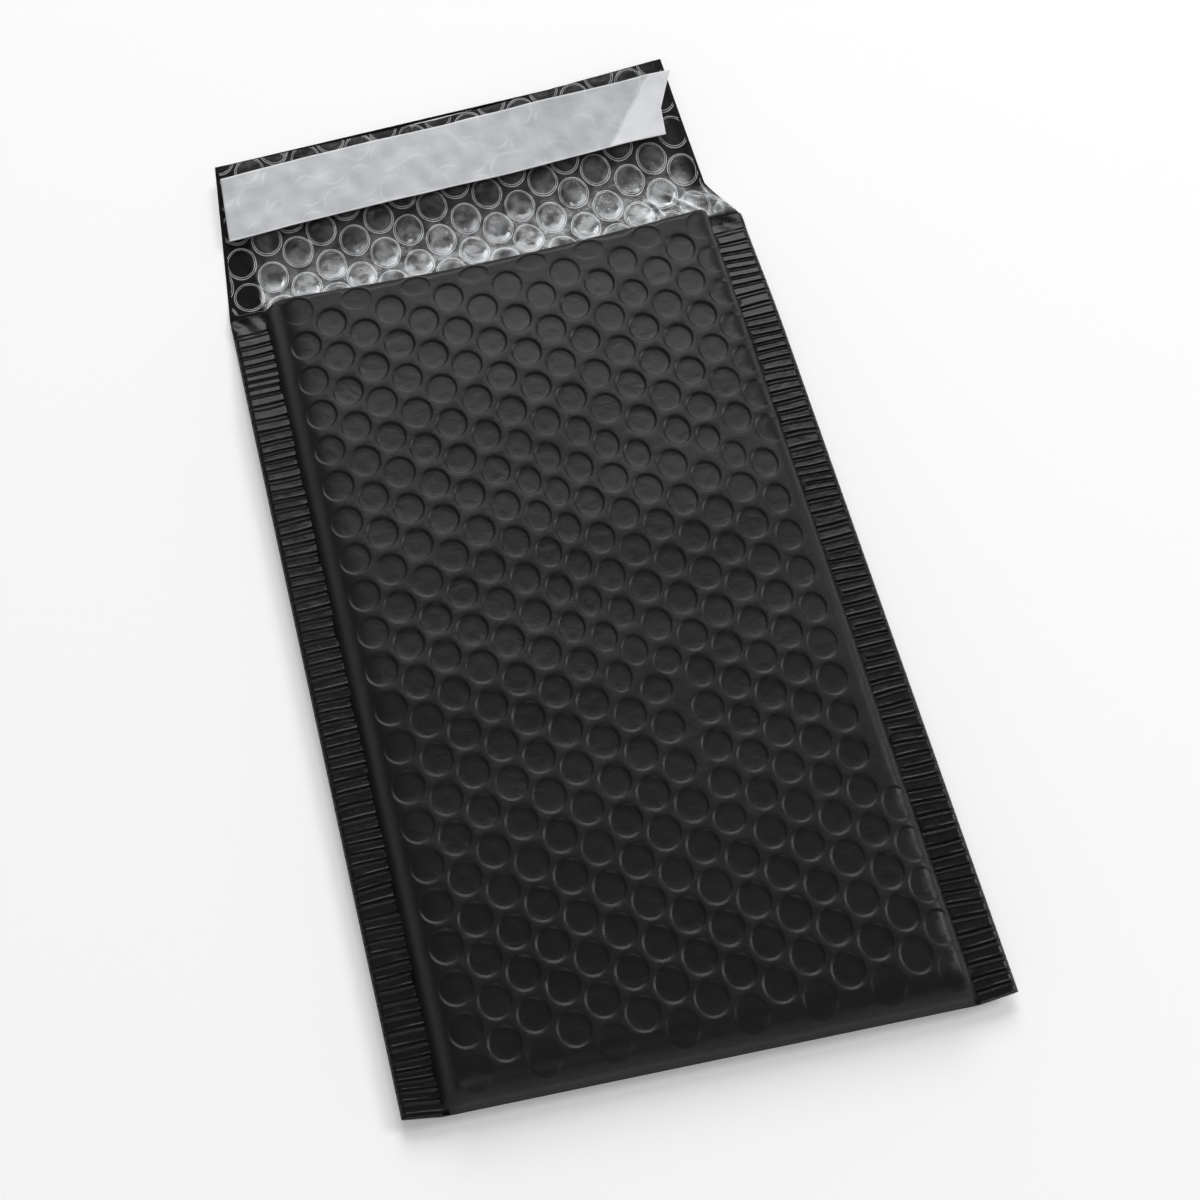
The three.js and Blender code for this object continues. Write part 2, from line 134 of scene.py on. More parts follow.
# Where the lining has slipped under the front film, so that its pits sit off the lattice. An even pit
# is kept if it is further than SLIP_CROWDING from the slipped ones, or within the patch than BARE_SPOT.
SLIP_START = 50
SLIP_REACH = 70
SLIP_RIGHT = 5.65
SLIP_NARROWING = 0.343
SLIP_DOWN = 4.85
SLIP_CROWDING = 5.6
BARE_SPOT = 6.4
FAULT = ((60, 85, 104, 118, 128, 174), (24, 19.5, 14, 5, -3, -4.5))
SLIP_TOP = ((0, 26, 40, 50, 62, 75), (181, 181, 175, 170, 166, 158))

# Lining of the flap, and the gap between the pouch's lining and the mouth
LINING_STEP = 9
LINING_START = -2.9
LINING_ROW = 261.3
LINING_PITCH = 13.8
LINING_HALF = (4.7, 5.9)
DOME_RISE = 1.2
LINING_UNDER = 0.7
LINING_TOP = 1.3
LINING_CLIMB = 0.4
LINING_MARGIN = 1.2
MOUTH_GAP = 1.6

# Closure strip
STRIP_LEFT = -77.3
STRIP_WIDTH = 24.5
STRIP_END_MARGIN = 7.6
STRIP_BOW = 2.2
STRIP_TAPER = 2.4
STRIP_THICKNESS = 0.22
STRIP_LEVEL = 3.4
STRIP_RIGHT = 66.6
STRIP_SLANT = 1.4
NOTCH_SHARE = 0.43
NOTCH_STEP = 0.9
TAB_SLANT = 6.2
TAB_START = 66
TAB_LENGTH = 14
TAB_LIFT = 0.8

# How much brighter the floor is for the camera than its lamps make it
FLOOR_LIFT = 0.155

Face = namedtuple("Face", "half start side_round fold_round front_edge back_edge crown floor roll drop")


def face_inside(inset, front_edge, back_edge, crown, floor, roll, drop):
    """A face of the pouch that lies an inset within the outer one, with its rounds shortened by it."""
    half = SEAM_EDGE - inset
    side_round = SIDE_ROUND - inset
    fold_round = FOLD_ROUND - inset
    return Face(half, inset, side_round, fold_round, front_edge, back_edge, crown, floor, roll, drop)


OUTER = face_inside(0, SEAM_HEIGHT + WELD / 2, SEAM_HEIGHT - WELD / 2, 12.2, 0, -0.4, 2.8)
LINER_OUT = face_inside(2, 3.84, 3.84, 10.6, 0.7, 0.4, 2.8)
LINER_IN = face_inside(5, 4.69, 4.69, 8.3, 3.5, 0, 1.65)


def clamp01(t):
    """The value held between 0 and 1."""
    return np.clip(t, 0, 1)


def smooth(t):
    """0 below 0, 1 above 1, and an even S between them."""
    t = clamp01(t)
    return t * t * (3 - 2 * t)


def mix(a, b, t):
    """The straight blend from a at 0 to b at 1."""
    return a + (b - a) * t


def rounding(distance, reach, power):
    """A rounded shoulder: 0 at the edge, 1 from one reach inwards, and the steeper the higher its power."""
    return 1 - (1 - clamp01(distance / reach)) ** power


def ripple(x, y, length, seed):
    """Soft noise of about -1 to 1: seven waves of about one length, in seeded directions."""
    rng = np.random.default_rng(seed)
    turns = rng.uniform(0, np.pi, 7)
    phases = rng.uniform(0, 2 * np.pi, 7)
    lengths = length * rng.uniform(0.7, 1.5, 7)
    total = 0
    for turn, phase, wave in zip(turns, phases, lengths):
        total = total + np.sin((x * np.cos(turn) + y * np.sin(turn)) * 2 * np.pi / wave + phase)
    return total / 3.2


# Levels of the pouch and the flap


def cross_rise(face, x):
    """How far a face has risen from its seams: a soft shoulder on the left, a tight one on the right."""
    power = mix(SIDE_POWER_LEFT, SIDE_POWER_RIGHT, smooth(x / HALF_WIDTH + 0.5))
    return rounding(face.half - np.abs(x), face.side_round, power)


def fullness(face, x, y):
    """How far a face has risen from its seams and its fold: the product of its two shoulders."""
    return cross_rise(face, x) * rounding(y - face.start, face.fold_round, FOLD_POWER)


def edge_fall(face, y):
    """How far a face's edges sink towards the mouth: an even S over the last DROP_REACH."""
    return face.drop * smooth((y - MOUTH + DROP_REACH) / DROP_REACH)


def near_mouth(y):
    """0 up to MOUTH_REACH below the mouth, 1 at the mouth, and an even S between."""
    return smooth((y - MOUTH + MOUTH_REACH) / MOUTH_REACH)


def mouth_edge(x):
    """The front panel's edge at the mouth: it dips between the seams and bows down in the middle."""
    return MOUTH - MOUTH_DIP * cross_rise(OUTER, x) - MOUTH_BOW * clamp01(1 - (x / SEAM_EDGE) ** 2)


def front_points(face, x, y):
    """The front panel: it crowns between the seams, rounds into the fold and lifts or dips at the mouth."""
    crown = face.crown - face.roll * near_mouth(y)
    z = mix(face.front_edge - edge_fall(face, y), crown, fullness(face, x, y))
    return np.stack([x, y, z], -1)


def back_level(face, x, y):
    """The back of a face: its edges' level, which sinks to its floor as the face fills out."""
    return mix(face.back_edge - edge_fall(face, y), face.floor, fullness(face, x, y))


def flap_end(x):
    """The flap's far edge: a straight line from its left length to its right length."""
    return MOUTH + mix(FLAP_LEFT, FLAP_RIGHT, (x + HALF_WIDTH) / WIDTH)


def flap_left(y):
    """The flap's left edge: a straight taper."""
    return -HALF_WIDTH + TAPER_LEFT * clamp01((y - MOUTH) / FLAP_LEFT)


def flap_right(y):
    """The flap's right edge: in over a short shoulder, then slowly on to its taper."""
    shoulder = SHOULDER_INSET * clamp01((y - MOUTH) / SHOULDER_LENGTH)
    rest = clamp01((y - MOUTH - SHOULDER_LENGTH) / (FLAP_RIGHT - SHOULDER_LENGTH))
    return HALF_WIDTH - shoulder - (TAPER_RIGHT - SHOULDER_INSET) * rest


def flap_curl(x, y):
    """The flap's right half curls up towards the far corner."""
    return FLAP_LIFT * clamp01(x / HALF_WIDTH) * clamp01((y - MOUTH) / FLAP_RIGHT) ** LIFT_POWER


def flap_level(face, offset, x, y, climb=0):
    """A layer leaves the mouth at its own level and settles to the flap's lie plus its offset."""
    beside = face.back_edge - face.drop + climb * (np.abs(x) - face.half) / SEAM_WIDTH
    at_mouth = np.where(np.abs(x) < face.half, back_level(face, x, np.full_like(y, MOUTH)), beside)
    return mix(at_mouth, flap_curl(x, y) + offset, smooth((y - MOUTH) / FLAP_SETTLE))


def back_points(x, y):
    """The outside of the back panel up to the mouth, and of the flap beyond it."""
    z = np.where(y < MOUTH, back_level(OUTER, x, y), flap_level(OUTER, 0, x, y))
    return np.stack([x, y, z], -1)


# Meshes


def grid_faces(rows, columns, start=0, closed=False):
    """Four-cornered faces of a grid kept row by row. A closed grid joins its last column to its first."""
    index = start + np.arange(rows * columns).reshape(rows, columns)
    if closed:
        index = np.concatenate([index, index[:, :1]], 1)
    return np.stack([index[:-1, :-1], index[:-1, 1:], index[1:, 1:], index[1:, :-1]], -1).reshape(-1, 4)


def laid_askew(points):
    """The points with the lower end turned in its plane: down on the right, and up at the seams' ends."""
    x, y, z = points.T
    sag = (SAG_SHIFT + SAG_TURN * x / HALF_WIDTH) * clamp01(1 - y / SAG_REACH) ** 1.5
    lift = SEAM_SKEW * clamp01((np.abs(x) - SEAM_EDGE) / SEAM_WIDTH) * clamp01(1 - y / 20)
    return np.stack([x, y - sag + lift, z], -1)


def piece(name, points, faces, material, attributes=None):
    """Puts points in millimetres and lists of faces into a smooth piece that rides on the one body."""
    mesh = bpy.data.meshes.new(name)
    places = (laid_askew(points) + ORIGIN) * MM
    mesh.from_pydata(places.tolist(), [], [face for group in faces for face in group.tolist()])
    mesh.shade_smooth()
    for key, values in (attributes or {}).items():
        mesh.attributes.new(key, "FLOAT", "POINT").data.foreach_set("value", values.astype(np.float32))
    mesh.materials.append(material)
    made = bpy.data.objects.new(name, mesh)
    bpy.context.scene.collection.objects.link(made)
    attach(made, BODY)
    return made


def slab(top, bottom):
    """A closed slab between two grids of the same rows and columns: points and faces, outwards."""
    rows, columns = top.shape[:2]
    count = rows * columns
    index = np.arange(count).reshape(rows, columns)
    edge = np.concatenate([index[0], index[1:, -1], index[-1, -2::-1], index[-2:0:-1, 0]])
    after = np.roll(edge, -1)
    walls = np.stack([edge + count, after + count, after, edge], -1)
    points = np.concatenate([top.reshape(-1, 3), bottom.reshape(-1, 3)])
    return points, [grid_faces(rows, columns), grid_faces(rows, columns, count)[:, ::-1], walls]


def thicken(made, thickness):
    """Gives an open sheet its thickness on its inner side."""
    solid = made.modifiers.new("thickness", "SOLIDIFY")
    solid.thickness = thickness * MM
    solid.offset = -1


def bubble_lattice(first_column, last_column, first_row, last_row):
    """Centres of a staggered field of bubbles, with column and row numbers. Rows widen slowly upwards."""
    column, row = np.meshgrid(
        np.arange(first_column, last_column + 1), np.arange(first_row, last_row + 1), indexing="ij"
    )
    along = row + 0.5 * (column % 2)
    x = COLUMN_START + COLUMN_STEP * column
    y = FIRST_ROW + ROW_STEP * along + ROW_GROWTH * along**2
    return np.stack([x, y], -1).reshape(-1, 2), column.ravel()


def in_slipped_patch(place):
    """Right of FAULT, a line of x over y, below SLIP_TOP, a line of y over x, and above SLIP_START."""
    x, y = place.T
    return (x > np.interp(y, *FAULT)) & (y < np.interp(x, *SLIP_TOP)) & (y > SLIP_START)


def slipped_lattice():
    """The front panel's pits: the even lattice, and a patch of it that has slid right and down.

    The slide grows from nothing at SLIP_START to whole one SLIP_REACH higher."""
    even, column = bubble_lattice(-8, 8, -1, 20)
    slide = clamp01((even[:, 1] - SLIP_START) / SLIP_REACH)
    whole_slide = np.stack([SLIP_RIGHT - SLIP_NARROWING * column, np.full(len(even), -SLIP_DOWN)], -1)
    slid = even + slide[:, None] * whole_slide
    kept = list(slid[in_slipped_patch(slid)])
    for place, least in zip(even, np.where(in_slipped_patch(even), BARE_SPOT, SLIP_CROWDING)):
        if min(np.hypot(*(place - other)) for other in kept) > least:
            kept.append(place)
    return np.array(kept)


def eased_apart(centres, least):
    """The centres after ten steps in which those closer than the least distance push each other apart."""
    for _ in range(10):
        span = centres[:, None] - centres
        far = np.linalg.norm(span, axis=2) + 99 * np.eye(len(centres))
        push = np.maximum(least - far, 0) / far
        centres = centres + 0.3 * (push[..., None] * span).sum(1)
    return centres


def squeezed(centres, half):
    """Half sizes of the pits: drawn in across or along where a neighbour is near, then shrunk clear.

    A pit's reach towards a neighbour is the radius of its ellipse in that direction."""
    span = centres[:, None] - centres
    far = np.linalg.norm(span, axis=2) + 99 * np.eye(len(centres))
    turn = np.arctan2(span[..., 1], span[..., 0])
    reach = half[0] * half[1] / np.hypot(half[1] * np.cos(turn), half[0] * np.sin(turn))
    room = (far - 0.5) / (2 * reach)
    sideways = np.abs(np.cos(turn)) > 0.6
    across = half[0] * np.clip(np.where(sideways, room, 9).min(1), 0.72, 1)[:, None]
    along = half[1] * np.clip(np.where(sideways, 9, room).min(1), 0.85, 1)[:, None]
    reach = across * along / np.hypot(along * np.cos(turn), across * np.sin(turn))
    clear = np.minimum((far - 0.4) / (reach + reach.T), 1).min(1)
    return np.concatenate([across, along], 1) * clear[:, None]


def pitted_sheet(outline, centres, radii, shares, sides, spacing, shoulders=None):
    """A flat sheet with a pit at every centre, as plan points, depth shares and faces.

    The land is a Delaunay triangulation of the outline with the pits' rims as its inner edges. Each pit
    is a ring for every (share of the rim's radius, share of the depth), closed by one floor face. Where
    shoulders are given, as places across, the land outside them has points only at those places."""
    turn = np.arange(sides) * 2 * np.pi / sides
    circle = np.stack([np.cos(turn), np.sin(turn)], -1)
    count = len(centres)
    rims = centres[:, None] + radii[:, None] * circle
    low, high = outline.min(0), outline.max(0)
    across, along = np.meshgrid(
        np.arange(low[0] + spacing, high[0] - spacing / 2, spacing),
        np.arange(low[1] + spacing, high[1] - spacing / 2, spacing),
    )
    land = np.stack([across, along], -1).reshape(-1, 2)
    if shoulders is not None:
        extra = np.meshgrid(shoulders, np.arange(low[1] + 0.7, high[1], 1.3))
        land = land[np.abs(land[:, 0]) < np.abs(shoulders).min() - 0.3]
        land = np.concatenate([land, np.stack(extra, -1).reshape(-1, 2)])
    reach = np.linalg.norm((land[:, None] - centres) / (radii + 0.35 * spacing), axis=2).min(1)
    land = land[(reach > 1) & inside(outline, land, 0.35 * spacing)]
    plan = np.concatenate([outline, rims.reshape(-1, 2), land])
    border = np.arange(len(outline))
    ring = len(outline) + np.arange(count * sides).reshape(count, sides)
    edges = np.concatenate(
        [
            np.stack([border, np.roll(border, -1)], -1),
            np.stack([ring, np.roll(ring, -1, axis=1)], -1).reshape(-1, 2),
        ]
    )
    vertices, _, triangles, sources, _, _ = delaunay_2d_cdt(plan.tolist(), edges.tolist(), [], 0, 1e-5)
    source = np.array([ids[0] for ids in sources])
    triangles = source[np.array(triangles)]
    middle = plan[triangles].mean(1)
    free = np.linalg.norm((middle[:, None] - centres) / radii, axis=2).min(1) > 0.995
    triangles = triangles[free & inside(outline, middle, 0)]
    first, second, third = (plan[triangles[:, i]] for i in range(3))
    turned = np.cross(second - first, third - first) < 0
    triangles[turned] = triangles[turned][:, ::-1]
    points, depth, walls = [plan], [np.zeros(len(plan))], []
    total = len(plan)
    for share, fall in shares:
        points.append((centres[:, None] + radii[:, None] * circle * share).reshape(-1, 2))
        depth.append(np.full(count * sides, float(fall)))
        inner = total + np.arange(count * sides).reshape(count, sides)
        walls.append(
            np.stack([ring, np.roll(ring, -1, 1), np.roll(inner, -1, 1), inner], -1).reshape(-1, 4)
        )
        ring = inner
        total += count * sides
    return np.concatenate(points), np.concatenate(depth), [triangles, *walls, ring]


def inside(outline, points, margin):
    """Which points lie within an outline that runs counterclockwise, by crossings and edge distance."""
    start, end = outline, np.roll(outline, -1, axis=0)
    x, y = points[:, :1], points[:, 1:]
    straddles = (start[:, 1] > y) != (end[:, 1] > y)
    slope = (end[:, 0] - start[:, 0]) / np.where(end[:, 1] == start[:, 1], 1e-9, end[:, 1] - start[:, 1])
    crossings = (straddles & (x < start[:, 0] + slope * (y - start[:, 1]))).sum(1)
    within = crossings % 2 == 1
    if margin:
        span = end - start
        share = clamp01(((points[:, None] - start) * span).sum(2) / (span**2).sum(1))
        gap = np.linalg.norm(points[:, None] - start - share[..., None] * span, axis=2).min(1)
        within &= gap > margin
    return within


def nearest_pit(points, centres):
    """For every point, the number of its nearest centre."""
    return np.linalg.norm(points[:, None] - centres, axis=2).argmin(1)


# Materials


def new_material(name, **values):
    """A material with one Principled shader, and plain values on its sockets."""
    material = bpy.data.materials.new(name)
    material.use_nodes = True
    shader = material.node_tree.nodes["Principled BSDF"]
    for socket, value in values.items():
        shader.inputs[socket.replace("_", " ")].default_value = value
    return material, shader


def add(material, kind, inputs=None, **settings):
    """Adds a node, sets its properties, and gives its inputs a value or a link."""
    made = material.node_tree.nodes.new(kind)
    for key, value in settings.items():
        setattr(made, key, value)
    for key, value in (inputs or {}).items():
        if isinstance(value, bpy.types.NodeSocket):
            material.node_tree.links.new(value, made.inputs[key])
        else:
            made.inputs[key].default_value = value
    return made


def link(material, output, socket):
    """Joins an output to a socket."""
    material.node_tree.links.new(output, socket)


def object_coordinates(material):
    """The place on the piece, in its object's own coordinates."""
    return add(material, "ShaderNodeTexCoord").outputs["Object"]


def spread(material, value, low, high):
    """A value of 0 to 1 spread between low and high."""
    return add(
        material, "ShaderNodeMapRange", {"Value": value, "To Min": low, "To Max": high}
    ).outputs["Result"]


def film_material(name, specular, low_roughness, high_roughness, creasing):
    """Black film: nearly black, satin, finely grained, with soft creases and uneven gloss.

    sunk, the share of a pit's depth, makes the floors of the pits a little glossier."""
    black = (0.0068, 0.0068, 0.0078, 1)
    material, shader = new_material(name, Base_Color=black, Specular_IOR_Level=specular)
    place = object_coordinates(material)
    patches = add(material, "ShaderNodeTexNoise", {"Vector": place, "Scale": 60, "Detail": 4})
    roughness = spread(material, patches.outputs["Fac"], low_roughness, high_roughness)
    sunk = combine(material, "MULTIPLY", attribute(material, "sunk"), 0.07)
    link(material, combine(material, "SUBTRACT", roughness, sunk), shader.inputs["Roughness"])
    grain = add(material, "ShaderNodeTexNoise", {"Vector": place, "Scale": 2600, "Detail": 2})
    creases = add(
        material,
        "ShaderNodeTexNoise",
        {"Vector": place, "Scale": 170, "Detail": 4, "Distortion": 0.4},
    )
    fine = add(
        material,
        "ShaderNodeBump",
        {"Height": grain.outputs["Fac"], "Strength": 0.2, "Distance": 0.0001},
    )
    bump = add(
        material,
        "ShaderNodeBump",
        {
            "Height": creases.outputs["Fac"],
            "Strength": creasing,
            "Distance": 0.0006,
            "Normal": fine.outputs["Normal"],
        },
    )
    link(material, bump.outputs["Normal"], shader.inputs["Normal"])
    return material


def ramp(material, value, stops):
    """A smooth curve through (place, height) stops."""
    made = add(material, "ShaderNodeValToRGB", {"Fac": value})
    made.color_ramp.interpolation = "EASE"
    elements = made.color_ramp.elements
    while len(elements) < len(stops):
        elements.new(1)
    for element, (place, height) in zip(elements, stops):
        element.position = place
        element.color = (height, height, height, 1)
    return made.outputs["Color"]


def combine(material, operation, first, second, clamp=False):
    """Two values or links added, subtracted or multiplied."""
    made = add(
        material, "ShaderNodeMath", {0: first, 1: second}, operation=operation, use_clamp=clamp
    )
    return made.outputs[0]


def attribute(material, name):
    """The piece's own attribute of that name, as a number."""
    return add(material, "ShaderNodeAttribute", attribute_name=name).outputs["Fac"]


RING_STOPS = [(0.43, 0), (0.446, 0.85), (0.462, 0.12), (0.482, 0.08), (0.5, 1), (0.52, 0)]


def lining_material():
    """Clear bubble film: glossy, milky as its haze says, with two fine bright rings round each bubble.

    The haze also carries painted light: a painted glow that grows towards the mouth, and painted highlight
    crescents in the bubbles' lower rims. The rings are painted brighter towards the mouth. reach is half
    the distance share from a bubble's centre, near says how close the mouth is, and glint where painted
    white sparks of light show."""
    material, shader = new_material("clear_bubble_film", Base_Color=(0.88, 0.9, 0.92, 1), Roughness=0.12)
    haze_and_painted_light = attribute(material, "haze_and_painted_light")
    near = attribute(material, "near")
    ring = ramp(material, attribute(material, "reach"), RING_STOPS)
    place = object_coordinates(material)
    cloud = add(material, "ShaderNodeTexNoise", {"Vector": place, "Scale": 240, "Detail": 4}).outputs["Fac"]
    spots = add(material, "ShaderNodeTexNoise", {"Vector": place, "Scale": 620, "Detail": 3}).outputs["Fac"]
    patchy = add(
        material,
        "ShaderNodeMapRange",
        {"Value": cloud, "From Min": 0.36, "From Max": 0.64, "To Min": 0.35, "To Max": 1.6},
    )
    # The film's milkiness in clouds, together with the painted glow towards the mouth and the painted
    # crescents that the haze holds.
    milk_and_painted_light = combine(material, "MULTIPLY", haze_and_painted_light, patchy.outputs["Result"])
    line = combine(material, "MULTIPLY", ring, spread(material, cloud, 0.2, 1.4))
    # Painted light: the rings are painted brighter towards the mouth.
    lines = combine(material, "MULTIPLY", line, spread(material, near, 0.7, 1.4))
    # Painted glints: white sparks of light painted into the alpha where the glint attribute meets the noise
    # spots.
    spark = combine(material, "MULTIPLY", attribute(material, "glint"), spots)
    glints = ramp(material, spark, [(0.235, 0), (0.275, 1)])
    alpha = combine(material, "ADD", combine(material, "ADD", milk_and_painted_light, lines), glints, clamp=True)
    link(material, alpha, shader.inputs["Alpha"])
    height = combine(material, "ADD", cloud, combine(material, "MULTIPLY", ring, 0.3))
    bump = add(material, "ShaderNodeBump", {"Height": height, "Strength": 0.5, "Distance": 0.0008})
    link(material, bump.outputs["Normal"], shader.inputs["Normal"])
    return material


def strip_material():
    """Release strip: pale satin film with soft clouds. tone lightens it over the bubbles' rings below."""
    material, shader = new_material("pale_release_film", Roughness=0.42)
    place = object_coordinates(material)
    cloud = add(material, "ShaderNodeTexNoise", {"Vector": place, "Scale": 110, "Detail": 4}).outputs["Fac"]
    clouded = spread(material, cloud, -0.15, 0.5)
    share = combine(material, "ADD", clouded, attribute(material, "tone"), clamp=True)
    tone = add(
        material,
        "ShaderNodeMix",
        {"Factor": share, "A": (0.42, 0.432, 0.45, 1), "B": (0.8, 0.81, 0.83, 1)},
        data_type="RGBA",
    )
    link(material, tone.outputs["Result"], shader.inputs["Base Color"])
    bump = add(material, "ShaderNodeBump", {"Height": cloud, "Strength": 0.3, "Distance": 0.001})
    link(material, bump.outputs["Normal"], shader.inputs["Normal"])
    return material


def glue_material():
    """Glue: pale and tacky, with fine runs."""
    material, shader = new_material("pale_glue", Base_Color=(0.8, 0.78, 0.68, 1), Roughness=0.3)
    place = object_coordinates(material)
    runs = add(material, "ShaderNodeTexNoise", {"Vector": place, "Scale": 500, "Detail": 3})
    bump = add(
        material,
        "ShaderNodeBump",
        {"Height": runs.outputs["Fac"], "Strength": 0.4, "Distance": 0.0004},
    )
    link(material, bump.outputs["Normal"], shader.inputs["Normal"])
    return material


# Pieces


def rectangle(half, low, high, step):
    """The outline of a rectangle, counterclockwise, with a corner every step."""
    across = np.linspace(-half, half, int(round(2 * half / step)) + 1)
    along = np.linspace(low, high, int(round((high - low) / step)) + 1)
    bottom = np.stack([across, np.full_like(across, low)], -1)
    right = np.stack([np.full_like(along, half), along], -1)[1:]
    top = np.stack([across[::-1], np.full_like(across, high)], -1)[1:]
    left = np.stack([np.full_like(along, -half), along[::-1]], -1)[1:-1]
    return np.concatenate([bottom, right, top, left])


def depth_left(to_mouth, y):
    """The share of its depth that a pit keeps: less within 12 of the mouth and within 15 of the fold."""
    return mix(1, 0.35, smooth((12 - to_mouth) / 6)) * mix(0.4, 1, smooth((y - 6) / 9))


def front_film(material):
    """The front panel: the lattice of pits laid on the panel's crowned form.

    A pit that would reach past the panel's edge is moved in beside it. Those further out on the right
    become narrow, shallow pits that the seam cuts off. Pits grow shallow towards the mouth and the fold."""
    outline = rectangle(SEAM_EDGE + HIDDEN_EDGE, 0, MOUTH, 2)
    outline[:, 1] = np.minimum(outline[:, 1], mouth_edge(outline[:, 0]))
    centres = eased_apart(slipped_lattice(), LEAST_SPACING)
    half, tall = BUBBLE_HALF
    reach = SEAM_EDGE - half - PIT_GAP
    centres = centres[(centres[:, 0] > -reach - LEFT_OVERHANG) & (centres[:, 0] < reach + RIGHT_OVERHANG)]
    cut_off = centres[:, 0] > reach + CUT_OFF_START
    beside_seam = SEAM_EDGE - CUT_OFF_HALF[0] - CUT_OFF_GAP
    centres[:, 0] = np.where(cut_off, beside_seam, np.clip(centres[:, 0], -reach, reach))
    to_mouth = mouth_edge(centres[:, 0]) - centres[:, 1]
    fits = (centres[:, 1] > tall + PIT_GAP) & (to_mouth > MOUTH_CLEARANCE)
    centres, cut_off = centres[fits], cut_off[fits]
    rng = np.random.default_rng(7)
    centres = centres + rng.uniform(-0.12, 0.12, centres.shape)
    radii = squeezed(centres, BUBBLE_HALF) * rng.uniform(0.96, 1.0, (len(centres), 1))
    to_mouth = mouth_edge(centres[:, 0]) - centres[:, 1]
    radii[:, 1] = np.minimum(radii[:, 1], to_mouth - PIT_GAP)
    radii[cut_off] = np.minimum(radii[cut_off], CUT_OFF_HALF)
    depths = PIT_DEPTH * np.where(cut_off, CUT_OFF_DEPTH, 1) * rng.uniform(0.75, 1.2, len(centres))
    depths *= depth_left(to_mouth, centres[:, 1])
    bends = SEAM_EDGE - np.array(SHOULDER_LINES)
    shoulders = np.concatenate([-bends, bends])
    plan, share, faces = pitted_sheet(outline, centres, radii, FRONT_RINGS, PIT_SIDES, 2, shoulders)
    x, y = plan.T
    points = front_points(OUTER, x, y)
    depth = share * depths[nearest_pit(plan, centres)]
    points[:, 2] += PANEL_RIPPLE * ripple(x, y, 60, 3) * fullness(OUTER, x, y) - depth
    buried = clamp01((np.abs(x) - SEAM_EDGE) / HIDDEN_EDGE)
    points[:, 2] -= WELD / 2 * buried
    sunk = clamp01(depth / PIT_DEPTH)
    made = piece("front_film", points, faces, material, {"sunk": sunk})
    thicken(made, FILM)
    return made


def back_film(material, inner_material):
    """The back panel and the flap in one sheet, its outside down, and duller on its inside."""
    along = np.linspace(MOUTH, MOUTH + FLAP_LEFT, 31)
    climb = (along - MOUTH) / FLAP_LEFT
    right_x, left_x = flap_right(along), flap_left(along)
    right = np.stack([right_x, mix(MOUTH, flap_end(right_x), climb)], -1)
    left = np.stack([left_x, mix(MOUTH, flap_end(left_x), climb)], -1)
    end_x = np.linspace(right[-1, 0], left[-1, 0], 60)[1:-1]
    end = np.stack([end_x, flap_end(end_x)], -1)
    body = rectangle(SEAM_EDGE + HIDDEN_EDGE, 0, MOUTH, 3)
    body = body[body[:, 1] < MOUTH]
    turn = len(body) - np.argmax(body[::-1, 0] > 0)
    outline = np.concatenate([body[:turn], right, end, left[::-1], body[turn:]])
    centres, _ = bubble_lattice(-8, 8, -1, 26)
    radii = np.tile(np.array(BUBBLE_HALF) * BACK_SHRINK, (len(centres), 1))
    fits = inside(outline, centres, 5.6)
    centres, radii = centres[fits], radii[fits]
    plan, share, faces = pitted_sheet(outline, centres, radii, BACK_RINGS, PIT_SIDES, 2.5)
    x, y = plan.T
    points = back_points(x, y)
    points[:, 2] += PIT_DEPTH * share
    made = piece("back_film", points, [group[:, ::-1] for group in faces], material)
    made.data.materials.append(inner_material)
    thicken(made, FILM)
    made.modifiers["thickness"].material_offset = 1
    return made


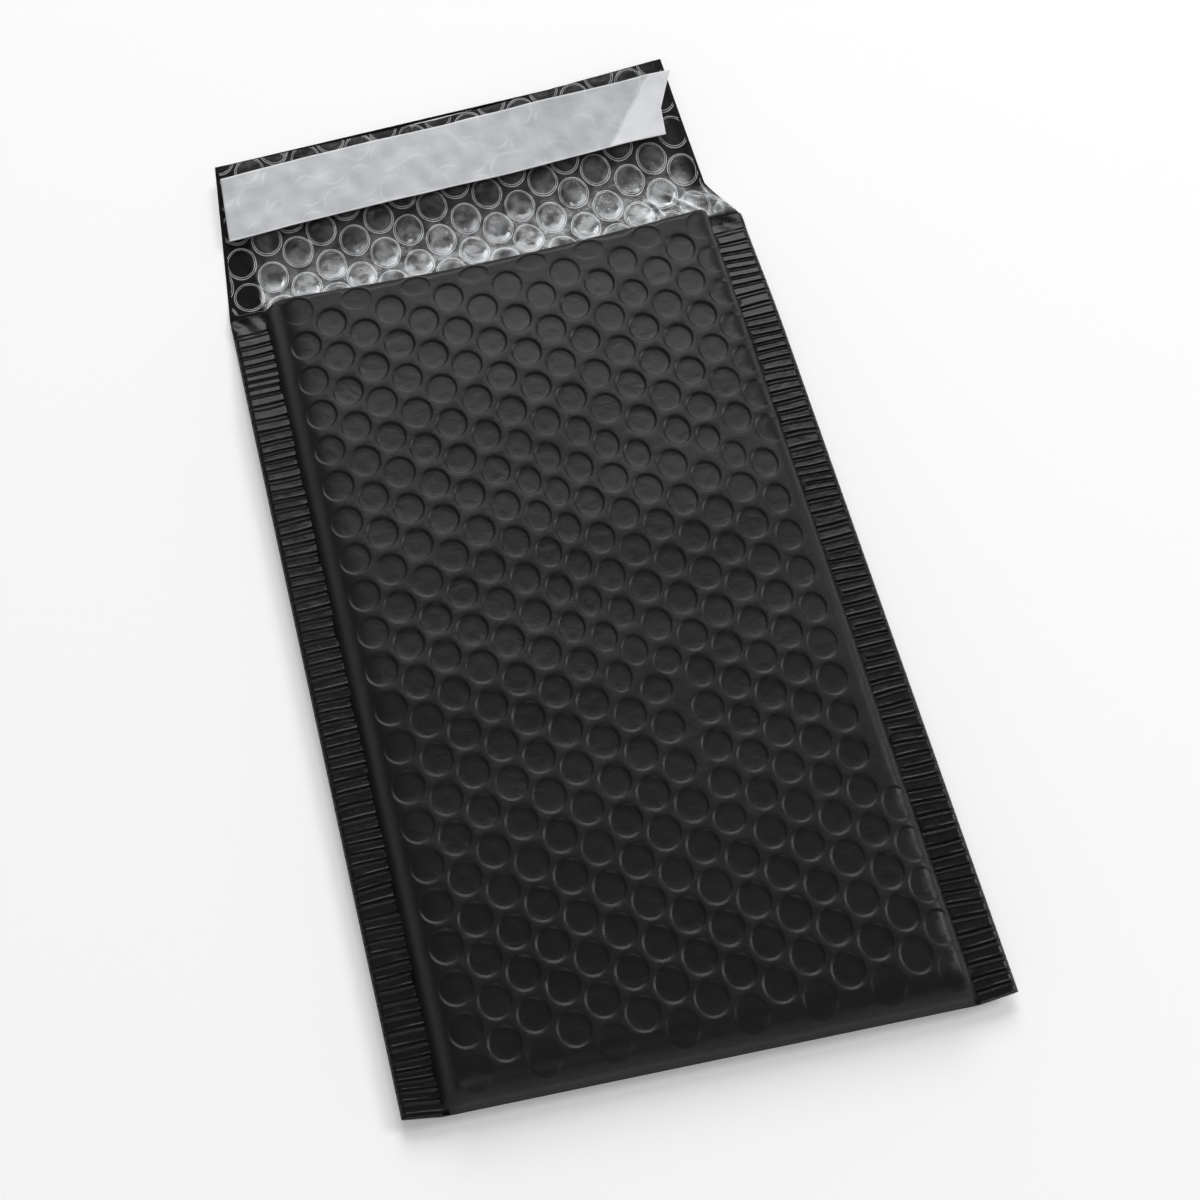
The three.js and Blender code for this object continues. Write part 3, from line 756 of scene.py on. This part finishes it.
def seam(name, side, material):
    """A welded side seam: its cross section carried up the length, with a rib every pitch.

    The section runs round from the inner edge over the top to the outer edge and back underneath. A rib
    is a band that slopes a little, with a sharp ridge along its upper border and a faint one along its
    lower border, and a gap parts it from the next. Each band runs inwards by its own ragged length, and
    the smooth end at the mouth is crumpled by a soft noise."""
    rows = np.linspace(0, MOUTH, SEAM_ROWS)
    top = np.linspace(0, 1, SEAM_POINTS)
    section = np.concatenate([top, top[::-1]])
    upper = np.repeat([1, -1], SEAM_POINTS)
    y, u = np.meshgrid(rows, section, indexing="ij")
    sign = np.broadcast_to(upper, y.shape)
    phase = y / RIB_PITCH + 0.3 * ripple(y, u * 1.6, 23, 11 + side) + 0.06 * ripple(y, u * 5, 9, 5 + side)
    place = phase % 1
    number = np.floor(phase)
    band = smooth(place / 0.08) * smooth((0.86 - place) / 0.08)
    broken = clamp01(0.65 + 0.5 * ripple(number * 7, u * 6, 9, 31))
    lower_ridge = 0.35 * broken * np.exp(-(((place - 0.12) / 0.05) ** 2))
    ridges = lower_ridge + np.exp(-(((place - 0.74) / 0.06) ** 2))
    ribs = RIB_HEIGHT * (band * (1 - 0.1 * place) + 0.75 * ridges * (0.5 + 0.5 * broken))
    ends = smooth((MOUTH - 2 - y) / SMOOTH_END)
    edge = smooth(u / 0.08) * smooth((1 - u) / 0.05)
    ragged = 0.9 * np.sin(number * 12.9898 + side) ** 2 + 0.6 * np.sin(number * 4.1) ** 2
    inner = SEAM_EDGE - 0.3 - band * ragged
    x = side * mix(inner, HALF_WIDTH, u)
    thick = WELD / 2 + np.where(sign > 0, ribs, 0.4 * ribs) * ends * edge
    thick = thick * mix(0.25, 1, np.sqrt(clamp01(1 - (2 * clamp01((u - 0.94) / 0.12)) ** 2)))
    crumple = 0.45 * ripple(x, y, 9, 17) * (1 - ends)
    z = SEAM_HEIGHT - edge_fall(OUTER, y) + sign * thick + crumple * (u > 0)
    points = np.stack([x, y, z], -1)
    count = len(section)
    faces = grid_faces(len(rows), count, closed=True)
    caps = np.stack([np.arange(count)[::-1], (len(rows) - 1) * count + np.arange(count)])
    if side > 0:
        faces, caps = faces[:, ::-1], caps[:, ::-1]
    return piece(name, points.reshape(-1, 3), [faces[:, ::-1], caps[:, ::-1]], material)


def lining_reach(x, y):
    """The nearest bubble of the flap's lining: how far its centre lies, as a share of the bubble's half
    size, and how far below the centre the point is, as a share of that distance."""
    least = np.full_like(x, 9.0)
    below = np.zeros_like(x)
    column = np.round((x - LINING_START) / LINING_STEP)
    for shift in (-1, 0, 1):
        near = column + shift
        first = LINING_ROW - 0.5 * LINING_PITCH * (near % 2)
        row = np.round((y - first) / LINING_PITCH)
        wobble_x = 0.35 * np.sin(near * 5.1 + row * 2.3)
        wobble_y = 0.4 * np.sin(near * 3.7 + row * 4.9)
        across = (x - LINING_START - LINING_STEP * near - wobble_x) / LINING_HALF[0]
        along = (y - first - LINING_PITCH * row - wobble_y) / LINING_HALF[1]
        reach = np.hypot(across, along)
        below = np.where(reach < least, -along / np.maximum(reach, 0.01), below)
        least = np.minimum(least, reach)
    return least + 0.02 * ripple(x, y, 7, 41), below


def flap_liner(material):
    """The lining on the flap: a slab of clear film with a staggered field of domes.

    Its haze is the film's own milkiness plus painted light: it grows towards the mouth in a painted glow.
    It is stronger within the bubbles, and most in their lower rims, in painted highlight crescents.
    In a corner at the right of the mouth it is crumpled, with creases where a soft noise crosses 0."""
    v, u = np.meshgrid(np.linspace(0, 1, 141), np.linspace(0, 1, 341), indexing="ij")
    low = MOUTH + 0.4
    y = mix(low, MOUTH + FLAP_LEFT - 1, v)
    x = mix(flap_left(y) + LINING_MARGIN, flap_right(y) - LINING_MARGIN, u)
    y = mix(low, flap_end(x) - 1, v)
    reach, below = lining_reach(x, y)
    crown = 1 - smooth((reach - 0.6) / 0.38)
    edge = smooth(np.minimum(np.minimum(u, 1 - u) * 160, np.minimum(v, 1 - v) * 60) / 3)
    crumple = smooth((x - 50) / 8) * smooth((MOUTH + 14 - y) / 6)
    creases = 1 - np.abs(np.sin(2.2 * ripple(x, y, 11, 51)))
    relief = DOME_RISE * crown * (1 - 0.6 * crumple) + 1.2 * creases * crumple
    above = flap_level(LINER_IN, LINING_TOP, x, y, LINING_CLIMB) + edge * relief
    under = flap_level(LINER_OUT, LINING_UNDER, x, y, LINING_CLIMB)
    near = smooth((MOUTH + 29 - y + 0.05 * x) / 29)
    pale = smooth((x + 72) / 1.2) * smooth((72 - x) / 8)
    within = smooth((0.92 - reach) / 0.08)
    # Painted highlight: a bright crescent painted in each bubble's lower inner rim.
    painted_crescent = within * smooth((reach - 0.5) / 0.4) * smooth((below + 0.1) / 0.9)
    # The haze is the film's own milkiness plus painted light: a painted glow that grows towards the mouth,
    # and the painted highlight crescents.
    haze_and_painted_light = pale * (0.02 + 0.27 * near**1.1 + within * (0.02 + 0.05 * near) + 1.0 * painted_crescent * near**1.1)
    haze_and_painted_light = haze_and_painted_light * (1 - 0.7 * crumple) + crumple * (0.22 + 0.75 * creases**2)
    points, faces = slab(np.stack([x, y, above], -1), np.stack([x, y, under], -1))
    bare = np.zeros(haze_and_painted_light.size)
    # Painted glints: sparks of light near each bubble's inner rim, strongest towards the mouth and on the
    # lower side.
    glint = np.exp(-(((reach - 0.78) / 0.13) ** 2)) * near**0.8 * pale * (0.6 + 0.4 * below)
    attributes = {
        "haze_and_painted_light": np.concatenate([haze_and_painted_light.ravel(), bare]),
        "near": np.concatenate([(near * pale).ravel(), bare]),
        "glint": np.concatenate([glint.ravel(), bare]),
        "reach": np.concatenate([0.5 * np.minimum(reach, 1.6).ravel(), bare]),
    }
    return piece("flap_liner", points, faces, material, attributes)


def pouch_row(face, y, count):
    """One row round the pouch: over the front from right to left, and back under it."""
    x = face.half * np.cos(np.linspace(0, np.pi, count))
    rows = np.full(count, float(y))
    front = front_points(face, x, rows - (MOUTH - mouth_edge(x)) * near_mouth(y))
    back_x = x[::-1][1:-1]
    back = np.stack([back_x, rows[1:-1], back_level(face, back_x, rows[1:-1])], -1)
    return np.concatenate([front, back])


def liner_pouch(material):
    """The lining inside the pouch: its outer face up to the mouth, and its inner face back down."""
    count = 80
    top = MOUTH - MOUTH_GAP
    shares = smooth(np.linspace(0, 1, 60))
    rows = [pouch_row(LINER_OUT, y, count) for y in mix(LINER_OUT.start, top, shares)]
    rows += [pouch_row(LINER_IN, y, count) for y in mix(top, LINER_IN.start, shares)]
    points = np.concatenate(rows)
    columns = len(rows[0])
    faces = grid_faces(len(rows), columns, closed=True)
    caps = np.stack([np.arange(columns)[::-1], (len(rows) - 1) * columns + np.arange(columns)])
    haze_and_painted_light = np.full(len(points), 0.15)
    return piece("liner_pouch", points, [faces, caps], material, {"haze_and_painted_light": haze_and_painted_light})


def release_strip(material):
    """The release strip along the flap's end, slightly bowed, with its right end notched and lifted.

    Its tone is lighter over the rings of the bubbles below, in blotches and threads of soft noise, in
    the folded right corner and along its rim."""
    rows = np.concatenate([[0, 0.012], np.linspace(0.03, 0.97, 48), [0.988, 1]])
    v, u = np.meshgrid(rows, np.linspace(0, 1, 301), indexing="ij")
    notch = NOTCH_STEP * clamp01(v / NOTCH_SHARE)
    right = STRIP_RIGHT + notch + TAB_SLANT * clamp01((v - NOTCH_SHARE) / (1 - NOTCH_SHARE))
    x = mix(STRIP_LEFT + STRIP_SLANT * v, right, u)
    margin = STRIP_END_MARGIN - STRIP_BOW * clamp01(1 - (x / 75) ** 2)
    width = STRIP_WIDTH - STRIP_TAPER * smooth((x - 10) / 60)
    y = flap_end(x) - margin - width * (1 - v)
    lift = TAB_LIFT * v * clamp01((x - TAB_START + TAB_LENGTH) / TAB_LENGTH) ** 2
    level = STRIP_LEVEL + flap_curl(x, y) + lift + 0.12 * ripple(x, y, 18, 9)
    reach, _ = lining_reach(x + 1.5, y)
    arcs = np.exp(-(((reach - 1) / 0.07) ** 2)) * clamp01(0.25 + 0.7 * ripple(x, y, 13, 61))
    threads = clamp01(1 - 5 * np.abs(ripple(x, y, 14, 81))) * clamp01(ripple(x, y, 20, 91))
    blotch = 0.12 * ripple(x, y, 8, 71) + 0.25 * threads
    corner = 0.8 * smooth((x - 47 - 18 * v) / 2.5)
    rim = 0.6 * (np.minimum(v, 1 - v) < 0.02)
    tone = 0.33 * arcs + blotch + corner + rim
    top = np.stack([x, y, level + STRIP_THICKNESS], -1)
    points, faces = slab(top, np.stack([x, y, level], -1))
    tones = np.concatenate([tone.ravel(), np.zeros(tone.size)])
    return piece("release_strip", points, faces, material, {"tone": tones})


# Camera, floor and light


def make_camera():
    """A 60 mm lens above the bottom edge, that looks up the length and a little to the right."""
    camera = bpy.data.objects.new("camera", bpy.data.cameras.new("camera"))
    bpy.context.scene.collection.objects.link(camera)
    camera.matrix_world = (
        Matrix.Translation((-0.0679, -0.2560, 0.5275))
        @ Matrix.Rotation(radians(-11.25), 4, "Z")
        @ Matrix.Rotation(radians(24.83), 4, "X")
        @ Matrix.Rotation(radians(-2.57), 4, "Z")
    )
    camera.data.lens = 60
    camera.data.shift_x = 0.075
    bpy.context.scene.camera = camera


def area_light(name, place, target, size, energy):
    """A square soft lamp at a place, turned to a target."""
    lamp = bpy.data.lights.new(name, "AREA")
    lamp.size = size
    lamp.energy = energy
    made = bpy.data.objects.new(name, lamp)
    bpy.context.scene.collection.objects.link(made)
    direction = np.array(target) - np.array(place)
    made.matrix_world = Matrix.Translation(place) @ look_along(direction).to_4x4()


def look_along(direction):
    """The turn that points a lamp along a direction."""
    return Vector(direction).to_track_quat("-Z", "Y").to_matrix()


def make_floor():
    """A wide white floor just under the envelope, a little brighter for the camera."""
    half = 3
    mesh = bpy.data.meshes.new("floor")
    corners = [(-half, -half), (half, -half), (half, half), (-half, half)]
    mesh.from_pydata([(x, y, CAD_LOW.z) for x, y in corners], [], [(0, 1, 2, 3)])
    floor = bpy.data.objects.new("floor", mesh)
    bpy.context.scene.collection.objects.link(floor)
    material, shader = new_material("white_floor", Base_Color=(0.93, 0.93, 0.935, 1), Roughness=0.8)
    shader.inputs["Emission Color"].default_value = (1, 1, 1, 1)
    path = add(material, "ShaderNodeLightPath").outputs
    seen = combine(material, "ADD", path["Is Camera Ray"], path["Is Glossy Ray"])
    seen = combine(material, "ADD", seen, path["Is Transmission Ray"], clamp=True)
    link(material, combine(material, "MULTIPLY", seen, FLOOR_LIFT), shader.inputs["Emission Strength"])
    mesh.materials.append(material)


def make_world():
    """Studio surroundings: white from the horizon to a low height, and dim above it."""
    world = bpy.data.worlds.new("surroundings")
    world.use_nodes = True
    bpy.context.scene.world = world
    background = world.node_tree.nodes["Background"]
    direction = world.node_tree.nodes.new("ShaderNodeTexCoord")
    parts = world.node_tree.nodes.new("ShaderNodeSeparateXYZ")
    height = world.node_tree.nodes.new("ShaderNodeMapRange")
    height.interpolation_type = "SMOOTHSTEP"
    for socket, value in (("From Min", 0.2), ("From Max", 0.45), ("To Min", 1), ("To Max", 0.1)):
        height.inputs[socket].default_value = value
    world.node_tree.links.new(direction.outputs["Generated"], parts.inputs["Vector"])
    world.node_tree.links.new(parts.outputs["Z"], height.inputs["Value"])
    world.node_tree.links.new(height.outputs["Result"], background.inputs["Strength"])
    background.inputs["Color"].default_value = (1, 1, 1, 1)


make_camera()
make_world()
make_floor()
area_light("back", (0.6, 2.7, 2.35), (0, 0.02, 0), 2.2, 80)
area_light("right", (2.2, 0.2, 1.9), (0, 0, 0), 0.9, 26)
area_light("front", (-0.8, -1.7, 2.3), (0, 0, 0), 1.5, 12)

black_film = film_material("black_film", 0.25, 0.36, 0.48, 0.3)
welded_film = film_material("welded_film", 0.24, 0.22, 0.36, 0.5)
clear_film = lining_material()
front = front_film(black_film)
back = back_film(black_film, film_material("inner_film", 0.15, 0.8, 0.95, 0.1))
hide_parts("outer_film")
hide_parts("outer_film")
seam("seam_left", -1, welded_film)
seam("seam_right", 1, welded_film)
lining = flap_liner(clear_film)
pouch = liner_pouch(clear_film)
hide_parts("bubble_liner")
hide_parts("bubble_liner")
strip = release_strip(strip_material())
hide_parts("release_liner")
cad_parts["adhesive_strip"].data.materials.clear()
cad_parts["adhesive_strip"].data.materials.append(glue_material())

bpy.context.scene.view_settings.view_transform = "Standard"
